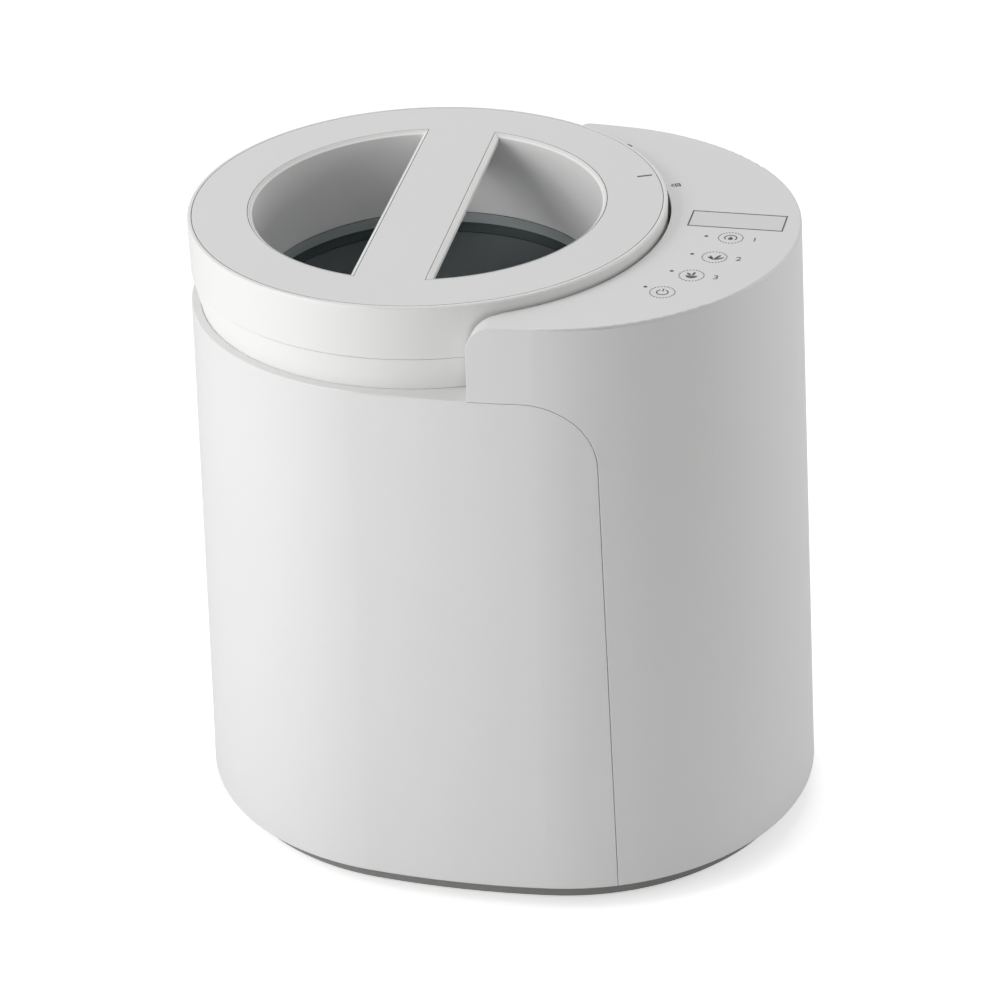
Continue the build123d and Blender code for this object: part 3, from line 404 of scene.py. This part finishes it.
def solder_mask(name):
    """Printed circuit board: copper tracks show as paler green lines under the lacquer."""
    made = bare_material(name)
    tree = made.node_tree
    place = add_node(tree, "ShaderNodeTexCoord")
    track = add_node(tree, "ShaderNodeTexBrick", {
        "Vector": place.outputs["Object"], "Scale": 1000 / 6.0, "Mortar Size": 0.04,
        "Color1": linear("#0D4A28"), "Color2": linear("#0F5530"), "Mortar": linear("#2C7A4C")})
    shader = add_node(tree, "ShaderNodeBsdfPrincipled", {
        "Base Color": track.outputs["Color"], "Roughness": 0.3, "IOR": 1.5})
    add_node(tree, "ShaderNodeOutputMaterial", {"Surface": shader.outputs[0]})
    return made


dress(solder_mask("green_solder_mask"), "control_board", "main_board")

# ---------------------------------------------------------------- lip round the lid
# The panel's edge is turned in round the lid as a thin lip, so that only a narrow dark gap
# shows there. It is moulded with the head, and stops where the neck comes out of it.
LIP_IN, LIP_OUT, LIP_DEEP = 0.1156, 0.1170, 0.0010
LIP_FROM, LIP_TO = -60.0, 60.0
LIP_STEPS = 120
LIP_SUNK = 0.00003  # the lip's top lies this far under the panel's
MERGED = 0.000001  # points nearer than this are one


def turned(degrees):
    """The operator's angle for a counter-clockwise turn; with no window it runs backwards."""
    return -math.radians(degrees)


bpy.ops.object.select_all(action="DESELECT")
bpy.ops.mesh.primitive_plane_add(size=1.0)
lip = bpy.context.object
lip.name = "panel_lip"
bpy.ops.object.mode_set(mode="EDIT")
bpy.ops.mesh.select_all(action="SELECT")
bpy.ops.transform.resize(value=(LIP_OUT - LIP_IN, LIP_DEEP, 1), center_override=(0, 0, 0))
bpy.ops.transform.rotate(value=math.pi / 2, orient_axis="X", center_override=(0, 0, 0))
head_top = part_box("head_housing")[1].z
lip_height = head_top - LIP_DEEP / 2 - LIP_SUNK
bpy.ops.transform.translate(value=((LIP_IN + LIP_OUT) / 2, 0, lip_height))
bpy.ops.transform.rotate(value=turned(LIP_FROM), orient_axis="Z", center_override=(0, 0, 0))
bpy.ops.mesh.spin(steps=LIP_STEPS, angle=turned(LIP_TO - LIP_FROM), center=(0, 0, 0),
                  axis=(0, 0, 1))
bpy.ops.mesh.select_all(action="SELECT")
bpy.ops.mesh.remove_doubles(threshold=MERGED)
bpy.ops.mesh.normals_make_consistent(inside=False)
bpy.ops.transform.translate(value=LID_AXIS)
bpy.ops.object.mode_set(mode="OBJECT")
lip.data.materials.append(casing_abs)
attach(lip, "housing")

# ---------------------------------------------------------------- printed marks
# Screen-printed in dark grey ink: a ring of dashes round each touch key with a plain
# picture in it, a dot and for three of them a number beside it, the window's outline, two
# padlocks and the lid's line. The ink is matt, and the screen leaves it faintly uneven.
PANEL_Z = 0.3103
LID_Z = 0.316
INK_T = 0.00006  # the ink stands this high
RISE = 0.00001  # a stroke that crosses another starts this much higher
ink = bare_material("dark_grey_ink")
ink_tree = ink.node_tree
ink_place = add_node(ink_tree, "ShaderNodeTexCoord")
screen = add_node(ink_tree, "ShaderNodeTexNoise", {
    "Vector": ink_place.outputs["Object"], "Scale": 1000 / 0.8, "Detail": 2.0})
ink_shade = add_node(ink_tree, "ShaderNodeMix", {
    0: screen.outputs["Fac"], 6: linear("#2C2D2E"), 7: linear("#3E3F40")}, data_type="RGBA")
ink_shader = add_node(ink_tree, "ShaderNodeBsdfPrincipled", {
    "Base Color": ink_shade.outputs[2], "Roughness": 0.5})
add_node(ink_tree, "ShaderNodeOutputMaterial", {"Surface": ink_shader.outputs[0]})


def near_axis(angle, radius, height):
    """Place at this angle (degrees) and radius about the lid's axis."""
    turn = math.radians(angle)
    return LID_AXIS + Vector((radius * math.cos(turn), radius * math.sin(turn), height))


def flat_disc(radius, corners, stretch=(1, 1, 1)):
    """A flat face in edit mode about the origin, all selected, to shape further."""
    bpy.ops.object.select_all(action="DESELECT")
    bpy.ops.mesh.primitive_circle_add(vertices=corners, radius=radius, fill_type="NGON")
    bpy.ops.object.mode_set(mode="EDIT")
    bpy.ops.mesh.select_all(action="SELECT")
    bpy.ops.transform.resize(value=stretch, center_override=(0, 0, 0))
    return bpy.context.object


def flat_bar(length, width, rounding=0.0):
    """A flat bar along X about the origin, in edit mode, all selected."""
    bpy.ops.object.select_all(action="DESELECT")
    bpy.ops.mesh.primitive_plane_add(size=1.0)
    bpy.ops.object.mode_set(mode="EDIT")
    bpy.ops.mesh.select_all(action="SELECT")
    bpy.ops.transform.resize(value=(length, width, 1), center_override=(0, 0, 0))
    if rounding:
        bpy.ops.mesh.bevel(offset=rounding, segments=4, affect="VERTICES")
        bpy.ops.mesh.select_all(action="SELECT")
    return bpy.context.object


def swept_line(radius, width, start, sweep, steps=32):
    """An arc of a line this wide about the origin, from start degrees on, in edit mode."""
    flat_bar(width, INK_T)
    bpy.ops.transform.rotate(value=math.pi / 2, orient_axis="X", center_override=(0, 0, 0))
    bpy.ops.transform.translate(value=(radius, 0, INK_T / 2))
    bpy.ops.transform.rotate(value=turned(start), orient_axis="Z", center_override=(0, 0, 0))
    bpy.ops.mesh.spin(steps=steps, angle=turned(sweep), center=(0, 0, 0), axis=(0, 0, 1))
    bpy.ops.mesh.select_all(action="SELECT")
    bpy.ops.mesh.remove_doubles(threshold=MERGED)
    bpy.ops.mesh.normals_make_consistent(inside=False)
    bpy.ops.object.mode_set(mode="OBJECT")
    return bpy.context.object


def inked(turn=0.0, shift=(0, 0, 0)):
    """Turns and shifts the open face, gives it the ink's thickness and closes the edit."""
    bpy.ops.mesh.select_all(action="SELECT")
    bpy.ops.transform.rotate(value=turned(turn), orient_axis="Z", center_override=(0, 0, 0))
    bpy.ops.transform.translate(value=shift)
    bpy.ops.mesh.extrude_region_move(TRANSFORM_OT_translate={"value": (0, 0, INK_T)})
    bpy.ops.mesh.select_all(action="SELECT")
    bpy.ops.mesh.normals_make_consistent(inside=False)
    bpy.ops.object.mode_set(mode="OBJECT")
    return bpy.context.object


def print_mark(name, strokes, place, turn=0.0, body="housing"):
    """Joins strokes drawn about the origin into one mark, and lays it in place."""
    bpy.ops.object.select_all(action="DESELECT")
    for stroke in strokes:
        stroke.select_set(True)
    bpy.context.view_layer.objects.active = strokes[0]
    if len(strokes) > 1:
        bpy.ops.object.join()
    mark = bpy.context.object
    bpy.ops.object.mode_set(mode="EDIT")
    bpy.ops.mesh.select_all(action="SELECT")
    bpy.ops.transform.rotate(value=turned(turn), orient_axis="Z", center_override=(0, 0, 0))
    bpy.ops.transform.translate(value=place)
    bpy.ops.object.mode_set(mode="OBJECT")
    mark.name = name
    mark.data.materials.clear()
    mark.data.materials.append(ink)
    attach(mark, body)


def leaf(length, width, turn, foot):
    """One pointed leaf that grows from its foot at this angle from upright."""
    flat_disc(width / 2, 16, (1, length / width, 1))
    bpy.ops.transform.translate(value=(0, length / 2, 0))
    return inked(turn, (*foot, 0))


def leaf_picture():
    """Four blades of grass, the longest leaning to the right."""
    return [leaf(0.0044, 0.0012, 24, (-0.0004, -0.0026)),
            leaf(0.0032, 0.0010, 50, (-0.0007, -0.0020)),
            leaf(0.0058, 0.0014, -26, (0, -0.0027)),
            leaf(0.0048, 0.0012, -54, (0.0006, -0.0025))]


def bowl_picture():
    """A bowl with two leaves over it."""
    flat_disc(0.0027, 28)
    bpy.ops.mesh.bisect(plane_co=(0, 0, 0), plane_no=(0, 1, 0), clear_outer=True)
    bowl = inked(0, (0, -0.0002, 0))
    return [bowl, leaf(0.0030, 0.0013, 42, (-0.0004, 0.0002)),
            leaf(0.0034, 0.0013, -12, (0.0004, 0.0002))]


def drop_picture():
    """A drop inside an open ring."""
    ring = swept_line(0.0028, 0.0006, -40, 260)
    flat_disc(0.0012, 20)
    round_end = inked(0, (0, -0.0010, 0))
    flat_disc(0.0011, 3)
    point = inked(0, (0, 0.0004, RISE))
    return [ring, round_end, point]


def power_picture():
    """An open ring with an upright bar."""
    ring = swept_line(0.0026, 0.0006, 118, 304)
    flat_bar(0.0006, 0.0026)
    return [ring, inked(0, (0, 0.0022, RISE))]


def plain_number(number, high):
    """A plain figure that stands on the origin, as a thin closed mesh."""
    bpy.ops.object.select_all(action="DESELECT")
    bpy.ops.object.text_add()
    figure = bpy.context.object
    figure.data.body = number
    figure.data.size = high
    figure.data.extrude = INK_T / 2
    bpy.ops.object.convert(target="MESH")
    bpy.ops.object.mode_set(mode="EDIT")
    bpy.ops.mesh.select_all(action="SELECT")
    bpy.ops.mesh.remove_doubles(threshold=MERGED)
    bpy.ops.transform.translate(value=(0, 0, INK_T / 2))
    bpy.ops.object.mode_set(mode="OBJECT")
    return figure


DASH = (0.00050, 0.00085)  # width and length of one dash


def dashed_ring(radius, count):
    """A ring of short dashes."""
    flat_bar(*DASH)
    bpy.ops.transform.translate(value=(radius, 0, 0))
    bpy.ops.mesh.spin(steps=count - 1, angle=2 * math.pi * (count - 1) / count,
                      center=(0, 0, 0), axis=(0, 0, 1), dupli=True)
    return inked()


KEY_STEP = 8.57  # degrees from key to key about the lid
FIRST_KEY = -28.3  # the power key's place, in degrees about the lid
KEY_R, KEY_R_STEP = 0.1428, 0.00135  # the row runs on a flatter arc than the lid's
DOT_R, DOT_R_STEP = 0.1332, 0.0007
DOT_BACK = 0.1  # degrees from the key's middle
DOT_HALF = 0.0009
KEY_RING_R = 0.0057
KEY_DASHES = 24
NUMBER_HIGH = 0.0058
NUMBER_SHIFT = Vector((0.0098, -0.0022, 0))
keys = [("power", power_picture, ""), ("kitchen_waste", bowl_picture, "3"),
        ("grass", leaf_picture, "2"), ("clean", drop_picture, "1")]
for row, (key, picture, number) in enumerate(keys):
    angle = FIRST_KEY + row * KEY_STEP
    key_r = KEY_R + row * KEY_R_STEP
    print_mark(f"key_{key}", [dashed_ring(KEY_RING_R, KEY_DASHES), *picture()],
               near_axis(angle, key_r, PANEL_Z))
    flat_disc(DOT_HALF, 16)
    print_mark(f"dot_{key}", [inked()],
               near_axis(angle - DOT_BACK, DOT_R + row * DOT_R_STEP, PANEL_Z))
    if number:
        figure = plain_number(number, NUMBER_HIGH)
        print_mark(f"number_{number}", [figure],
                   near_axis(angle, key_r, PANEL_Z) + NUMBER_SHIFT)

window_low, window_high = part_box("display_window")
window_mid = (window_low + window_high) / 2
line_long, line_deep, line_w = 0.0445, 0.0164, 0.0007
outline = []
for side in (-1, 1):
    flat_bar(line_long + line_w, line_w)
    outline.append(inked(0, (0, side * line_deep / 2, 0)))
    flat_bar(line_w, line_deep - line_w)
    outline.append(inked(0, (side * line_long / 2, 0, 0)))
print_mark("window_outline", outline, (window_mid.x, window_mid.y, PANEL_Z))


def padlock(name, angle, radius, swing):
    """A small outlined padlock whose shackle points to the lid; swing lifts one leg of it."""
    deep, wide, stroke = 0.0028, 0.0034, 0.0007
    middle = 0.0010  # of its body
    body_lines = []
    for side in (-1, 1):
        flat_bar(deep, stroke)
        body_lines.append(inked(0, (middle, side * (wide - stroke) / 2, 0)))
        flat_bar(stroke, wide - 2 * stroke)
        body_lines.append(inked(0, (middle + side * (deep - stroke) / 2, 0, 0)))
    flat_disc(0.0005, 12)
    keyhole = inked(0, (middle, 0, 0))
    shackle = swept_line(0.0011, stroke, 90 + swing, 180, 16)
    bpy.ops.object.mode_set(mode="EDIT")
    bpy.ops.mesh.select_all(action="SELECT")
    bpy.ops.transform.translate(value=(-0.0008, 0.0006 if swing else 0, RISE))
    bpy.ops.object.mode_set(mode="OBJECT")
    print_mark(name, [*body_lines, keyhole, shackle], near_axis(angle, radius, PANEL_Z), angle)


CLOSED_AT, OPEN_AT = 23.3, 48.6  # degrees; the lid turns by the difference
padlock("padlock_closed", CLOSED_AT, 0.1207, 0)
padlock("padlock_open", OPEN_AT, 0.1192, 25)
LINE_AT, LINE_R = 24.4, 0.106
LINE_LONG, LINE_WIDE, LINE_ROUND = 0.0074, 0.0013, 0.0005
flat_bar(LINE_LONG, LINE_WIDE, LINE_ROUND)
print_mark("lid_line", [inked()], near_axis(LINE_AT, LINE_R, LID_Z), LINE_AT, "lid")

# ---------------------------------------------------------------- filter cartridge
# The cartridge is pressed charcoal granules, 2 to 3 mm across, with a row of grid bars
# across each face. It stands in the drawer at the back.


def charcoal_granules(name):
    """Black granules, with painted glints at their middles and painted shade in the gaps."""
    made = bare_material(name)
    tree = made.node_tree
    place = add_node(tree, "ShaderNodeTexCoord")
    grain = add_node(tree, "ShaderNodeTexVoronoi", {
        "Vector": place.outputs["Object"], "Scale": 1000 / 2.6})
    shade = add_node(tree, "ShaderNodeMix", {
        0: grain.outputs["Distance"], 6: linear("#2B2B2B"), 7: linear("#060606")},
        data_type="RGBA")
    bump = add_node(tree, "ShaderNodeBump", {
        "Height": grain.outputs["Distance"], "Strength": 0.9, "Distance": 0.001})
    bump.invert = True
    shader = add_node(tree, "ShaderNodeBsdfPrincipled", {
        "Base Color": shade.outputs[2], "Roughness": 0.5, "Normal": bump.outputs["Normal"]})
    add_node(tree, "ShaderNodeOutputMaterial", {"Surface": shader.outputs[0]})
    return made


dress(charcoal_granules("charcoal_granules"), "filter_cartridge")
